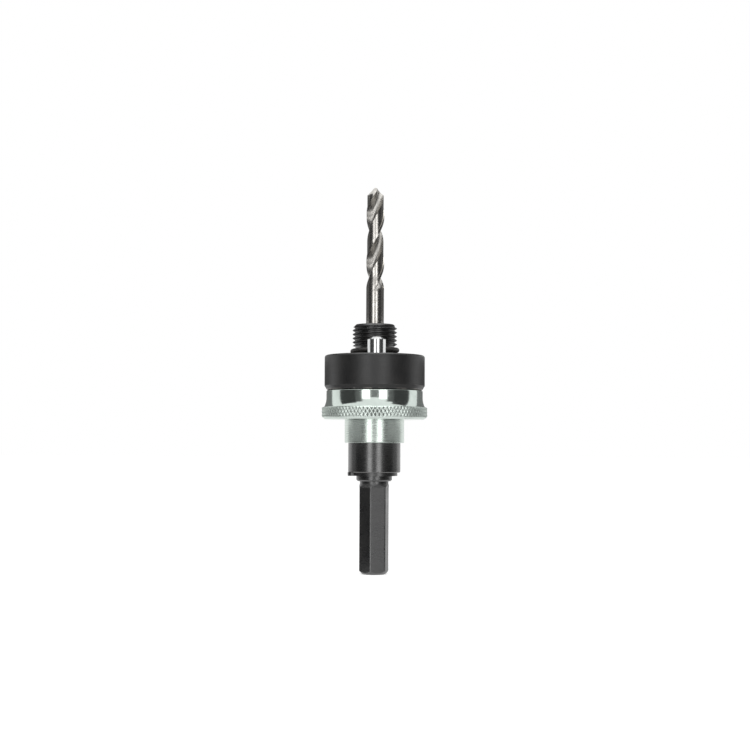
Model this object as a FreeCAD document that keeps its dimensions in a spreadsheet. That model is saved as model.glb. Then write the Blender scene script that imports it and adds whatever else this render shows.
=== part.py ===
import FreeCAD, Part
import math
import os
import re
import Sketcher
from FreeCAD import Placement, Rotation, Vector

# Quick-change hole saw arbor. Lengths are in millimetres.
# The origin is the centre of the shank's end face, and +Z runs along the axis to the drill tip.

doc = FreeCAD.newDocument("hole_saw_arbor")

# Driving sizes

SIZES = {
    # hexagonal shank
    "shank_length": 31.9,
    "shank_flats": 9.525,
    "shank_corner_allowance": 1.235,
    "shank_end_bevel": 1.25,
    "shank_top_taper": 1.0,
    "flat_runout_rise": 1.3,
    "hexagon_turn": 43.7,
    "root_step": 0.3375,
    "root_length": 0.9,
    # threaded nose, shoulder and seal groove
    "thread_diameter": 15.875,
    "nose_length": 7.66,
    "nose_bevel": 1.2,
    "shoulder_length": 0.45,
    "seal_groove_depth": 0.9375,
    "seal_groove_width": 2.85,
    # flats of the guide, milled down to the round journal behind it
    "guide_start": 26.3,
    "guide_flat_depth": 1.5875,
    "journal_bevel": 0.5,
    "neck_length": 1.9,
    # sliding collar: drive ring and pins
    "travel": 7.0,
    "slide_gap": 0.1,
    "pin_gap": 1.5875,
    "pin_diameter": 6.35,
    "pin_reach": 5.65,
    "pin_depth_in_sleeve": 5.0,
    "pin_tip_height": 0.85,
    "pin_tip_width": 1.1,
    "pin_tail_bevel": 0.4,
    "ring_wall": 2.0,
    "ring_height": 12.6,
    "ring_top_round": 0.8,
    "ring_bevel_width": 0.62,
    "ring_bevel_height": 1.05,
    "ring_foot_width": 0.98,
    "ring_foot_height": 0.7,
    "ring_foot_round": 1.3,
    # knurled sleeve
    "sleeve_step": 0.725,
    "sleeve_edge_bevel": 0.25,
    "sleeve_above_shoulder": 2.7,
    "sleeve_shoulder": 3.0,
    "sleeve_straight": 2.55,
    "sweep_radius": 7.0,
    "sweep_height": 3.3,
    "sweep_width": 0.82,
    "rim_step": 0.95,
    "rim_width": 3.4,
    "rim_top_round": 0.7,
    "rim_bottom_bevel_height": 0.95,
    "rim_bottom_bevel_width": 1.2,
    "hub_wall": 1.15,
    "hub_length": 8.35,
    "hub_bevel": 0.3,
    "hub_bore_gap": 0.15,
    # spring and its cup
    "spring_wire": 1.2,
    "spring_side_gap": 0.375,
    "spring_turns": 6.5,
    "cup_wall": 1.0,
    "cup_floor": 1.2,
    "cup_bevel": 0.25,
    "cup_stop_gap": 0.5,
    "cup_bore_gap": 0.05,
    # retaining ring and its groove
    "clip_thickness": 1.2,
    "clip_groove_depth": 0.3,
    "clip_gap": 0.05,
    "clip_back_width": 2.15,
    "clip_band_width": 1.4,
    "clip_lug_length": 3.3,
    "clip_lug_diameter": 3.0,
    "clip_mouth": 1.4,
    "clip_eye_diameter": 1.5,
    # rubber seal
    "seal_section": 1.75,
    "seal_gap": 0.02,
    "seal_lift": 0.27,
    # pilot drill
    "drill_diameter": 6.35,
    "drill_length": 78.15,
    "drill_hold": 28.78,
    "drill_bore_gap": 0.05,
    "drill_tail_bevel": 0.5,
    "flute_reach": 38.05,
    "flute_lead": 34.2,
    "flute_floor_radius": 1.75,
    "flute_runout_length": 6.6,
    "flute_phase_height": 14.88,
    "land_angle": 88.0,
    "margin_angle": 17.0,
    "body_relief": 0.25,
    "web": 1.3,
    "point_angle": 118.0,
    "lip_relief_slope": 0.35,
    "heel_cone_angle": 84.6,
    "heel_cone_offset": 1.68,
    "heel_cone_rise": 0.35,
    # screw that clamps the drill
    "drill_flat_depth": 0.4,
    "drill_flat_length": 9.0,
    "screw_diameter": 6.0,
    "screw_below_ring_top": 3.8,
    "screw_socket_flats": 3.0,
    "screw_socket_depth": 2.2,
    "screw_sink": 0.5,
    "screw_bevel": 0.4,
}

sheet = doc.addObject("Spreadsheet::Sheet", "Sizes")
for row, (alias, size) in enumerate(SIZES.items(), start=1):
    sheet.set("A%d" % row, alias)
    sheet.set("B%d" % row, str(size))
    sheet.setAlias("B%d" % row, alias)
doc.recompute()


def worked_out(text):
    """Write a formula of size names in the form that the document's expressions read."""
    def sheet_name(found):
        word = found.group()
        return "Sizes." + word if word in SIZES else word
    return "(" + re.sub(r"(?<![.\w])[a-z_]\w*", sheet_name, text) + ")"


def half(formula):
    return worked_out("(" + formula + ") / 2")


def value(formula):
    """The number that a formula gives now."""
    return float(sheet.evalExpression(formula))


ZERO = "0"


# Diameters, each worked out from the piece that it fits

shank_corners = worked_out("shank_flats + shank_corner_allowance")
root_diameter = worked_out("shank_flats + 2 * root_step")
seal_groove_diameter = worked_out("thread_diameter - 2 * seal_groove_depth")
journal_diameter = worked_out("thread_diameter - 2 * guide_flat_depth")
cup_bore = worked_out(journal_diameter + " + 2 * spring_wire + 4 * spring_side_gap")
cup_diameter = worked_out(cup_bore + " + 2 * cup_wall")
hub_bore = worked_out(cup_diameter + " + 2 * hub_bore_gap")
hub_diameter = worked_out(hub_bore + " + 2 * hub_wall")
pin_circle_diameter = worked_out("thread_diameter + 2 * pin_gap + pin_diameter")
ring_diameter = worked_out(pin_circle_diameter + " + pin_diameter + 2 * ring_wall")
sleeve_top_diameter = worked_out(ring_diameter + " - 2 * sleeve_step")
rim_diameter = worked_out(ring_diameter + " + 2 * rim_step")

# Heights along the axis, each worked out from the one below it

journal_start = worked_out("shank_length + root_length")
clip_bottom = worked_out(journal_start + " + neck_length")
cup_bottom = worked_out(clip_bottom + " + clip_thickness")
guide_bottom = worked_out(cup_bottom + " + guide_start")
ring_bottom = worked_out(guide_bottom + " + sleeve_above_shoulder")
ring_top = worked_out(ring_bottom + " + ring_height")
guide_top = worked_out(ring_top + " + slide_gap")
seal_bottom = worked_out(guide_top + " + shoulder_length")
nose_bottom = worked_out(seal_bottom + " + seal_groove_width")
nose_top = worked_out(nose_bottom + " + nose_length")
spring_top = worked_out(guide_bottom + " - sleeve_shoulder")
spring_bottom = worked_out(cup_bottom + " + cup_floor")
cup_top = worked_out(spring_top + " - travel - cup_stop_gap")
straight_bottom = worked_out(ring_bottom + " - sleeve_straight")
sweep_bottom = worked_out(straight_bottom + " - sweep_height")
knurl_bottom = worked_out(sweep_bottom + " - rim_width")
rim_bottom = worked_out(knurl_bottom + " - rim_bottom_bevel_height")
hub_bottom = worked_out(rim_bottom + " - hub_length")
pin_bottom = worked_out(ring_bottom + " - pin_depth_in_sleeve")
pin_top = worked_out(ring_top + " + pin_reach")
screw_height = worked_out(ring_top + " - screw_below_ring_top")
drill_bottom = worked_out(nose_top + " - drill_hold")
drill_tip = worked_out(drill_bottom + " + drill_length")
flute_bottom = worked_out(drill_tip + " - flute_reach")


# Helpers for bodies, sketches and edges

def new_body(label):
    body = doc.addObject("PartDesign::Body", label)
    body.Label = label
    return body


def origin_plane(body, role):
    return [feature for feature in body.Origin.OriginFeatures if feature.Role == role][0]


def new_sketch(body, name, role, height=None):
    """A sketch on one of the body's own origin planes, lifted along its normal when asked."""
    sketch = body.newObject("Sketcher::SketchObject", name)
    sketch.AttachmentSupport = [(origin_plane(body, role), "")]
    sketch.MapMode = "FlatFace"
    if height is not None:
        sketch.setExpression("AttachmentOffset.Base.z", height)
    return sketch


def bind(sketch, constraint, formula):
    """Add a constraint and tie its value to a formula."""
    index = sketch.addConstraint(constraint)
    sketch.setExpression("Constraints[%d]" % index, formula)


def pin_down(sketch, edge, point, corner):
    """Fix one point of a sketch at a corner given by two formulas, or on an axis where one is zero."""
    across, up = corner[0], corner[1]
    if across == ZERO:
        sketch.addConstraint(Sketcher.Constraint("PointOnObject", edge, point, -2))
    else:
        bind(sketch, Sketcher.Constraint("DistanceX", -1, 1, edge, point, value(across)), across)
    if up == ZERO:
        sketch.addConstraint(Sketcher.Constraint("PointOnObject", edge, point, -1))
    else:
        bind(sketch, Sketcher.Constraint("DistanceY", -1, 1, edge, point, value(up)), up)


def arc_through(start, end, radius, turn):
    """An arc of a given radius from start to end that bends left (turn 1) or right (turn -1)."""
    chord = end - start
    middle = (start + end) * 0.5
    side = Vector(-chord.y, chord.x, 0).normalize() * turn
    centre = middle + side * math.sqrt(max(radius ** 2 - (chord.Length / 2) ** 2, 0))
    first = math.atan2(start.y - centre.y, start.x - centre.x)
    last = math.atan2(end.y - centre.y, end.x - centre.x)
    circle = Part.Circle(centre, Vector(0, 0, 1), radius)
    if turn > 0:
        return Part.ArcOfCircle(circle, first, last)
    return Part.ArcOfCircle(circle, last, first)


def draw_outline(sketch, corners):
    """A closed outline. A corner is (across, up), or (across, up, radius, turn) after an arc."""
    places = [Vector(value(corner[0]), value(corner[1]), 0) for corner in corners]
    first_points = []
    last_points = []
    for index, corner in enumerate(corners):
        start, end = places[index - 1], places[index]
        if len(corner) == 4:
            radius, turn = corner[2], corner[3]
            sketch.addGeometry(arc_through(start, end, value(radius), turn), False)
            bind(sketch, Sketcher.Constraint("Radius", index, value(radius)), radius)
            first_points.append(1 if turn > 0 else 2)
            last_points.append(2 if turn > 0 else 1)
        else:
            sketch.addGeometry(Part.LineSegment(start, end), False)
            first_points.append(1)
            last_points.append(2)
    for index, corner in enumerate(corners):
        following = (index + 1) % len(corners)
        joined = (index, last_points[index], following, first_points[following])
        sketch.addConstraint(Sketcher.Constraint("Coincident", *joined))
        pin_down(sketch, index, last_points[index], corner)


def draw_circle(sketch, across, up, radius):
    """A circle with its centre and radius tied to formulas."""
    centre = Vector(value(across), value(up), 0)
    index = sketch.addGeometry(Part.Circle(centre, Vector(0, 0, 1), value(radius)), False)
    pin_down(sketch, index, 3, (across, up))
    bind(sketch, Sketcher.Constraint("Radius", index, value(radius)), radius)


def revolve(body, name, corners):
    """Turn an outline of (radius, height) corners about the axis, as new material."""
    sketch = new_sketch(body, name + "_outline", "XZ_Plane")
    draw_outline(sketch, corners)
    turned = body.newObject("PartDesign::Revolution", name)
    turned.Profile = sketch
    turned.ReferenceAxis = (sketch, ["V_Axis"])
    turned.Angle = 360
    doc.recompute()
    return turned


def cut(body, name, sketch, depth=None, backwards=False, both_ways=False):
    """Pocket a sketch, through everything unless a depth is given, and check that it cuts."""
    before = body.Shape.Volume
    pocket = body.newObject("PartDesign::Pocket", name)
    pocket.Profile = sketch
    pocket.Reversed = backwards
    if both_ways:
        pocket.Midplane = True
    if depth is None:
        pocket.Type = 1
    else:
        pocket.setExpression("Length", depth)
    doc.recompute()
    if body.Shape.Volume >= before:
        raise RuntimeError(name + " cuts nothing")
    return pocket


def repeat_round_axis(body, name, feature, count):
    """Copy a feature evenly round the Z axis."""
    pattern = body.newObject("PartDesign::PolarPattern", name)
    pattern.Originals = [feature]
    pattern.Axis = (origin_plane(body, "Z_Axis"), [""])
    pattern.Angle = 360
    pattern.Occurrences = count
    body.Tip = pattern
    doc.recompute()
    return pattern


# Arbor body: hexagonal shank, journal, double-D guide, shoulder and threaded nose

def make_arbor_body():
    body = new_body("arbor_body")
    groove_radius = worked_out(journal_diameter + " / 2 - clip_groove_depth")
    groove_bottom = worked_out(clip_bottom + " - clip_gap")
    revolve(body, "turned_bar", [
        (ZERO, ZERO),
        (worked_out(shank_corners + " / 2 - shank_end_bevel"), ZERO),
        (half(shank_corners), worked_out("shank_end_bevel")),
        (half(shank_corners), worked_out("shank_length - shank_top_taper")),
        (half(root_diameter), worked_out("shank_length")),
        (half(root_diameter), journal_start),
        (worked_out(journal_diameter + " / 2 - journal_bevel"), journal_start),
        (half(journal_diameter), worked_out(journal_start + " + journal_bevel")),
        (half(journal_diameter), groove_bottom),
        (groove_radius, groove_bottom),
        (groove_radius, cup_bottom),
        (half(journal_diameter), cup_bottom),
        (half(journal_diameter), guide_bottom),
        (half("thread_diameter"), guide_bottom),
        (half("thread_diameter"), seal_bottom),
        (half(seal_groove_diameter), seal_bottom),
        (half(seal_groove_diameter), nose_bottom),
        (half("thread_diameter"), nose_bottom),
        (half("thread_diameter"), worked_out(nose_top + " - nose_bevel")),
        (worked_out("thread_diameter / 2 - nose_bevel"), nose_top),
        (ZERO, nose_top),
    ])

    # one flat of the hexagon, milled from the end and run out on a slope
    flat = new_sketch(body, "shank_flat_outline", "XZ_Plane")
    flat.AttachmentOffset = Placement(Vector(), Rotation(Vector(0, 1, 0), 1))
    flat.setExpression("AttachmentOffset.Rotation.Angle", worked_out("hexagon_turn"))
    flat_end = worked_out("shank_length - flat_runout_rise")
    draw_outline(flat, [
        (half("shank_flats"), worked_out("0 - shank_end_bevel")),
        (shank_corners, worked_out("0 - shank_end_bevel")),
        (shank_corners, worked_out("shank_length")),
        (half(shank_corners), worked_out("shank_length")),
        (half("shank_flats"), flat_end),
    ])
    flat_cut = cut(body, "shank_flat", flat, both_ways=True)
    repeat_round_axis(body, "shank_flats", flat_cut, 6)

    # the two flats of the guide face the pins
    guide = new_sketch(body, "guide_flat_outline", "YZ_Plane")
    draw_outline(guide, [
        (half(journal_diameter), guide_bottom),
        (worked_out("thread_diameter"), guide_bottom),
        (worked_out("thread_diameter"), guide_top),
        (half(journal_diameter), guide_top),
    ])
    guide_cut = cut(body, "guide_flat", guide, both_ways=True)
    repeat_round_axis(body, "guide_flats", guide_cut, 2)

    # bore for the drill shank, and the hole for its screw through the round side
    bore = new_sketch(body, "drill_bore_outline", "XY_Plane", nose_top)
    draw_circle(bore, ZERO, ZERO, worked_out("drill_diameter / 2 + drill_bore_gap"))
    cut(body, "drill_bore", bore, depth=worked_out("drill_hold"))
    hole = new_sketch(body, "screw_hole_outline", "YZ_Plane")
    draw_circle(hole, ZERO, screw_height, half("screw_diameter"))
    cut(body, "screw_hole", hole, depth=worked_out("thread_diameter"), backwards=True)
    return body


# Collar: drive ring, two pins and the knurled sleeve

def double_d(sketch, gap):
    """The guide's section with a gap all round: two flats across Y and two arcs."""
    flat = worked_out(journal_diameter + " / 2 + " + gap)
    radius = worked_out("thread_diameter / 2 + " + gap)
    corner = worked_out("sqrt(" + radius + " ^ 2 - " + flat + " ^ 2)")
    minus_corner = worked_out("0 - " + corner)
    minus_flat = worked_out("0 - " + flat)
    draw_outline(sketch, [
        (minus_corner, minus_flat, radius, 1),
        (corner, minus_flat),
        (corner, flat, radius, 1),
        (minus_corner, flat),
    ])


def pin_holes(body, bottom, depth):
    """Two holes for the pins, drilled upwards from a height."""
    for name, side in (("front", "0 - "), ("rear", "")):
        sketch = new_sketch(body, name + "_pin_hole_outline", "XY_Plane", bottom)
        draw_circle(sketch, ZERO, worked_out(side + half(pin_circle_diameter)), half("pin_diameter"))
        cut(body, name + "_pin_hole", sketch, depth=depth, backwards=True)


def make_drive_ring():
    body = new_body("drive_ring")
    bevel_edge = worked_out(ring_diameter + " / 2 - ring_bevel_width")
    foot_edge = worked_out(bevel_edge + " - ring_foot_width")
    bevel_bottom = worked_out(ring_bottom + " + ring_foot_height")
    revolve(body, "turned_ring", [
        (ZERO, ring_bottom),
        (foot_edge, ring_bottom),
        (bevel_edge, bevel_bottom, worked_out("ring_foot_round"), 1),
        (half(ring_diameter), worked_out(bevel_bottom + " + ring_bevel_height")),
        (half(ring_diameter), worked_out(ring_top + " - ring_top_round")),
        (worked_out(ring_diameter + " / 2 - ring_top_round"), ring_top, worked_out("ring_top_round"), 1),
        (ZERO, ring_top),
    ])
    bore = new_sketch(body, "guide_bore_outline", "XY_Plane", ring_bottom)
    double_d(bore, "slide_gap")
    cut(body, "guide_bore", bore, backwards=True)
    pin_holes(body, ring_bottom, worked_out("ring_height"))
    return body


def make_pin(label):
    body = new_body(label)
    radius = half("pin_diameter")
    length = worked_out(pin_top + " - " + pin_bottom)
    revolve(body, "turned_pin", [
        (ZERO, ZERO),
        (worked_out("pin_diameter / 2 - pin_tail_bevel"), ZERO),
        (radius, worked_out("pin_tail_bevel")),
        (radius, worked_out(length + " - pin_tip_height")),
        (worked_out("pin_diameter / 2 - pin_tip_width"), length),
        (ZERO, length),
    ])
    return body


def make_knurled_sleeve():
    body = new_body("knurled_sleeve")
    guide_clearance = worked_out("thread_diameter / 2 + slide_gap")
    journal_clearance = worked_out(journal_diameter + " / 2 + slide_gap")
    rim_top_edge = worked_out(rim_diameter + " / 2 - rim_top_round")
    revolve(body, "turned_sleeve", [
        (guide_clearance, ring_bottom),
        (guide_clearance, guide_bottom),
        (journal_clearance, guide_bottom),
        (journal_clearance, spring_top),
        (half(hub_bore), spring_top),
        (half(hub_bore), hub_bottom),
        (worked_out(hub_diameter + " / 2 - hub_bevel"), hub_bottom),
        (half(hub_diameter), worked_out(hub_bottom + " + hub_bevel")),
        (half(hub_diameter), rim_bottom),
        (worked_out(rim_diameter + " / 2 - rim_bottom_bevel_width"), rim_bottom),
        (half(rim_diameter), knurl_bottom),
        (half(rim_diameter), worked_out(sweep_bottom + " - rim_top_round")),
        (rim_top_edge, sweep_bottom, worked_out("rim_top_round"), 1),
        (worked_out(sleeve_top_diameter + " / 2 + sweep_width"), sweep_bottom),
        (half(sleeve_top_diameter), straight_bottom, worked_out("sweep_radius"), -1),
        (half(sleeve_top_diameter), worked_out(ring_bottom + " - sleeve_edge_bevel")),
        (worked_out(sleeve_top_diameter + " / 2 - sleeve_edge_bevel"), ring_bottom),
    ])
    pin_holes(body, pin_bottom, worked_out("pin_depth_in_sleeve"))
    return body


# Return spring, its cup and the ring that holds the cup

def make_return_spring():
    body = new_body("return_spring")
    mean = worked_out(journal_diameter + " / 2 + spring_side_gap + spring_wire / 2")
    length = worked_out(spring_top + " - " + spring_bottom)
    wire = new_sketch(body, "wire_section", "XZ_Plane")
    draw_circle(wire, mean, spring_bottom, half("spring_wire"))
    coil = body.newObject("PartDesign::AdditiveHelix", "coil")
    coil.Profile = wire
    coil.ReferenceAxis = (wire, ["V_Axis"])
    coil.Mode = "height-turns-angle"
    coil.setExpression("Height", length)
    coil.setExpression("Turns", worked_out("spring_turns"))
    doc.recompute()
    for name, height, backwards in (("lower_end", spring_bottom, False), ("upper_end", spring_top, True)):
        ground = new_sketch(body, name + "_outline", "XY_Plane", height)
        draw_circle(ground, ZERO, ZERO, half(cup_bore))
        cut(body, name, ground, depth=worked_out("spring_wire"), backwards=backwards)
    return body


def make_spring_cup():
    body = new_body("spring_cup")
    floor_bore = worked_out(journal_diameter + " / 2 + cup_bore_gap")
    bevelled = worked_out(cup_diameter + " / 2 - cup_bevel")
    revolve(body, "turned_cup", [
        (floor_bore, cup_bottom),
        (bevelled, cup_bottom),
        (half(cup_diameter), worked_out(cup_bottom + " + cup_bevel")),
        (half(cup_diameter), worked_out(cup_top + " - cup_bevel")),
        (bevelled, cup_top),
        (half(cup_bore), cup_top),
        (half(cup_bore), spring_bottom),
        (floor_bore, spring_bottom),
    ])
    return body


def make_rear_circlip():
    body = new_body("rear_circlip")
    inner = worked_out(journal_diameter + " / 2 - clip_groove_depth + clip_gap")
    lug_reach = worked_out(inner + " + clip_lug_length")
    outer = worked_out(inner + " + (clip_back_width + clip_band_width) / 2")
    band = new_sketch(body, "band_outline", "XY_Plane", clip_bottom)
    draw_circle(band, half("clip_back_width - clip_band_width"), ZERO, outer)
    draw_circle(band, ZERO, ZERO, inner)
    ring = body.newObject("PartDesign::Pad", "band")
    ring.Profile = band
    ring.setExpression("Length", worked_out("clip_thickness"))
    doc.recompute()

    # two lugs beside the mouth, each with an eye for the pliers
    lug_across = worked_out("clip_lug_diameter / 2 - " + lug_reach)
    for name, sign in (("near", "-"), ("far", "+")):
        lug_up = worked_out("0 " + sign + " (clip_mouth + clip_lug_diameter) / 2")
        lug = new_sketch(body, name + "_lug_outline", "XY_Plane", clip_bottom)
        draw_circle(lug, lug_across, lug_up, half("clip_lug_diameter"))
        pad = body.newObject("PartDesign::Pad", name + "_lug")
        pad.Profile = lug
        pad.setExpression("Length", worked_out("clip_thickness"))
        doc.recompute()
        eye = new_sketch(body, name + "_eye_outline", "XY_Plane", clip_bottom)
        draw_circle(eye, lug_across, lug_up, half("clip_eye_diameter"))
        cut(body, name + "_eye", eye, backwards=True)
    mouth = new_sketch(body, "mouth_outline", "XY_Plane", clip_bottom)
    draw_outline(mouth, [
        (ZERO, half("clip_mouth")),
        (worked_out("0 - " + lug_reach), half("clip_mouth")),
        (worked_out("0 - " + lug_reach), worked_out("0 - clip_mouth / 2")),
        (ZERO, worked_out("0 - clip_mouth / 2")),
    ])
    cut(body, "mouth", mouth, backwards=True)
    return body


# Rubber seal below the thread

def make_o_ring():
    seal = doc.addObject("Part::Torus", "o_ring")
    seal.Label = "o_ring"
    seal.setExpression("Radius1", worked_out(seal_groove_diameter + " / 2 + seal_gap + seal_section / 2"))
    seal.setExpression("Radius2", half("seal_section"))
    seal.setExpression("Placement.Base.z", worked_out(seal_bottom + " + seal_lift + seal_section / 2"))
    return seal


# Clamping screw: a socket screw that presses on the drill's flat

def make_pilot_set_screw():
    body = new_body("pilot_set_screw")
    tip = worked_out("drill_diameter / 2 - drill_flat_depth")
    length = worked_out("thread_diameter / 2 - screw_sink - " + tip)
    radius = half("screw_diameter")
    inset = worked_out("screw_diameter / 2 - screw_bevel")
    revolve(body, "turned_screw", [
        (ZERO, ZERO),
        (inset, ZERO),
        (radius, worked_out("screw_bevel")),
        (radius, worked_out(length + " - screw_bevel")),
        (inset, length),
        (ZERO, length),
    ])
    socket = new_sketch(body, "socket_outline", "XY_Plane", length)
    reach = worked_out("screw_socket_flats / 2 / cos(30)")
    corners = []
    for step in range(6):
        turn = "%d" % (60 * step)
        across = worked_out(reach + " * cos(" + turn + ")")
        corners.append((across, worked_out(reach + " * sin(" + turn + ")")))
    draw_outline(socket, corners)
    cut(body, "socket", socket, depth=worked_out("screw_socket_depth"))
    return body


# Pilot drill

def on_circle(radius, degrees):
    angle = math.radians(degrees)
    return Vector(radius * math.cos(angle), radius * math.sin(angle), 0)


def land_edges():
    """One land and the flute behind it, across the drill's axis. The land is centred on +X."""
    radius = value(half("drill_diameter"))
    relieved = radius - value(worked_out("body_relief"))
    lip_angle = value(half("land_angle"))
    margin = value(worked_out("margin_angle"))
    floor = value(worked_out("flute_floor_radius"))
    lip = on_circle(radius, lip_angle)
    margin_foot = on_circle(radius, lip_angle - margin)
    step_foot = on_circle(relieved, lip_angle - margin)
    heel = on_circle(relieved, -lip_angle)
    next_heel = on_circle(relieved, 180 - lip_angle)

    # the flute is straight from the lip and then round, so that the two halves leave the web
    rise = value(half("web")) + floor
    centre = Vector(next_heel.x + math.sqrt(floor ** 2 - (rise - next_heel.y) ** 2), rise, 0)
    to_lip = lip - centre
    facing = math.degrees(math.atan2(to_lip.y, to_lip.x))
    tangent_angle = facing - math.degrees(math.acos(floor / to_lip.Length))
    tangent = centre + on_circle(floor, tangent_angle)
    to_heel = next_heel - centre
    heel_angle = math.degrees(math.atan2(to_heel.y, to_heel.x)) % 360 - 360
    bottom = centre + on_circle(floor, (tangent_angle + heel_angle) / 2)
    return [
        Part.Arc(heel, on_circle(relieved, -margin / 2), step_foot).toShape(),
        Part.LineSegment(step_foot, margin_foot).toShape(),
        Part.Arc(margin_foot, on_circle(radius, lip_angle - margin / 2), lip).toShape(),
        Part.LineSegment(lip, tangent).toShape(),
        Part.Arc(tangent, bottom, next_heel).toShape(),
    ]


def twisted_lands():
    """Both lands swept up the axis while they turn with the flutes' lead."""
    height = value(worked_out("flute_reach"))
    lead = value(worked_out("flute_lead"))
    edges = land_edges()
    for edge in land_edges():
        edge.rotate(Vector(0, 0, 0), Vector(0, 0, 1), 180)
        edges.append(edge)
    section = Part.Wire(Part.__sortEdges__(edges))
    spine = Part.Wire(Part.makeLine(Vector(0, 0, 0), Vector(0, 0, height)))
    guide = Part.Wire(Part.makeHelix(lead, height, value(half("drill_diameter"))))
    sweep = Part.BRepOffsetAPI.MakePipeShell(spine)
    sweep.setAuxiliarySpine(guide, True, 0)
    sweep.add(section, False, False)
    sweep.build()
    sweep.makeSolid()
    return sweep.shape()


def make_flutes():
    """The fluted length, turned so that a flute faces sideways where the phase height says."""
    tip = value(drill_tip)
    reach = value(worked_out("flute_reach"))
    lead = value(worked_out("flute_lead"))
    phase = value(worked_out("flute_phase_height"))
    quarter = 90
    turned = quarter - (reach - phase) / lead * 360
    fluted = doc.addObject("Part::Feature", "fluted_length")
    fluted.Shape = twisted_lands()
    fluted.Placement = Placement(Vector(0, 0, tip - reach), Rotation(Vector(0, 0, 1), turned))
    return fluted


def point_frame(side):
    """Where the lip of one land lies at the tip: a half turn apart for the two sides."""
    phase = value(worked_out("flute_phase_height"))
    lead = value(worked_out("flute_lead"))
    lip = phase / lead * 360 + 90 + value(half("land_angle"))
    return lip + side * 180


def make_point_planes(side):
    """A slab whose upper face is the relieved face behind one lip."""
    slope = 1 / math.tan(math.radians(value(half("point_angle"))))
    relief = value(worked_out("lip_relief_slope"))
    size = value(worked_out("drill_length"))
    normal = Rotation(Vector(0, 0, 1), point_frame(side)).multVec(Vector(slope, -relief, 1))
    slab = doc.addObject("Part::Box", "lip_face_%d" % side)
    for name in ("Length", "Width"):
        slab.setExpression(name, worked_out("drill_length * 2"))
    slab.setExpression("Height", worked_out("drill_length * 2"))
    turned = Rotation(Vector(0, 0, 1), normal)
    corner = turned.multVec(Vector(-size, -size, -2 * size))
    slab.Placement = Placement(corner + Vector(0, 0, value(drill_tip)), turned)
    return slab


def make_heel_cone(side):
    """A cone beside the axis that takes down the heel of one land."""
    spread = math.tan(math.radians(value(half("heel_cone_angle"))))
    height = value(worked_out("drill_length"))
    offset = value(worked_out("heel_cone_offset"))
    apex_rise = value(worked_out("heel_cone_rise")) + offset / spread
    cone = doc.addObject("Part::Cone", "heel_cone_%d" % side)
    cone.setExpression("Height", worked_out("drill_length"))
    cone.setExpression("Radius1", worked_out("drill_length * tan(heel_cone_angle / 2)"))
    cone.Radius2 = 0
    aside = Rotation(Vector(0, 0, 1), point_frame(side)).multVec(Vector(0, offset, 0))
    cone.Placement = Placement(aside + Vector(0, 0, value(drill_tip) + apex_rise - height), Rotation())
    return cone


def make_pilot_drill():
    flutes = make_flutes()
    pointed = doc.addObject("Part::MultiCommon", "pointed_length")
    pointed.Shapes = [
        flutes,
        make_point_planes(0),
        make_point_planes(1),
        make_heel_cone(0),
        make_heel_cone(1),
    ]

    # plain shank with the run-out of the flutes above it, and a flat for the clamping screw
    shank = new_body("drill_shank")
    radius = half("drill_diameter")
    runout_end = worked_out(flute_bottom + " + flute_runout_length")
    web = half("web")
    runout_radius = worked_out(
        "((drill_diameter / 2 - web / 2) ^ 2 + flute_runout_length ^ 2) / (drill_diameter - web)"
    )
    revolve(shank, "turned_shank", [
        (ZERO, drill_bottom),
        (worked_out("drill_diameter / 2 - drill_tail_bevel"), drill_bottom),
        (radius, worked_out(drill_bottom + " + drill_tail_bevel")),
        (radius, flute_bottom),
        (web, runout_end, runout_radius, -1),
        (ZERO, runout_end),
    ])
    flat = new_sketch(shank, "clamping_flat_outline", "XZ_Plane")
    inner = worked_out("drill_diameter / 2 - drill_flat_depth")
    low = worked_out(screw_height + " - drill_flat_length / 2")
    high = worked_out(screw_height + " + drill_flat_length / 2")
    draw_outline(flat, [
        (inner, low),
        (worked_out("drill_diameter"), low),
        (worked_out("drill_diameter"), high),
        (inner, high),
    ])
    cut(shank, "clamping_flat", flat, both_ways=True)
    drill = doc.addObject("Part::MultiFuse", "pilot_drill")
    drill.Label = "pilot_drill"
    drill.Shapes = [pointed, shank]
    return drill


# Assembly: the pins lie in the YZ plane, and the clamping screw points out along +X

def place(body, across, depth, up):
    """Tie the place of a sub-part to three formulas."""
    body.setExpression("Placement.Base.x", across)
    body.setExpression("Placement.Base.y", depth)
    body.setExpression("Placement.Base.z", up)


sub_parts = [
    make_arbor_body(),
    make_drive_ring(),
    make_pin("drive_pin_front"),
    make_pin("drive_pin_rear"),
    make_knurled_sleeve(),
    make_return_spring(),
    make_spring_cup(),
    make_rear_circlip(),
    make_o_ring(),
    make_pilot_set_screw(),
    make_pilot_drill(),
]
nodes = {part.Label: part for part in sub_parts}
place(nodes["drive_pin_front"], ZERO, worked_out("0 - " + half(pin_circle_diameter)), pin_bottom)
place(nodes["drive_pin_rear"], ZERO, half(pin_circle_diameter), pin_bottom)
screw = nodes["pilot_set_screw"]
screw.Placement = Placement(Vector(), Rotation(Vector(0, 1, 0), 90))
place(screw, worked_out("drill_diameter / 2 - drill_flat_depth"), ZERO, screw_height)
doc.recompute()

for thing in doc.Objects:
    if "Invalid" in thing.State or "Error" in thing.State:
        raise RuntimeError("%s failed: %s" % (thing.Name, thing.State))
os.makedirs("parts", exist_ok=True)
for label, part in nodes.items():
    shape = part.Shape
    if shape.isNull() or not shape.isValid() or shape.Volume <= 0:
        raise RuntimeError(label + " has no sound shape")
for label, part in nodes.items():
    part.Shape.exportStep("parts/" + label + ".step")
    box = part.Shape.BoundBox
    print("%-16s %d solid, %9.2f mm3, z %7.2f to %7.2f" % (
        label, len(part.Shape.Solids), part.Shape.Volume, box.ZMin, box.ZMax))
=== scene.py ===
import math

import bmesh
import bpy
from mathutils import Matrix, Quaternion, Vector


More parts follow.
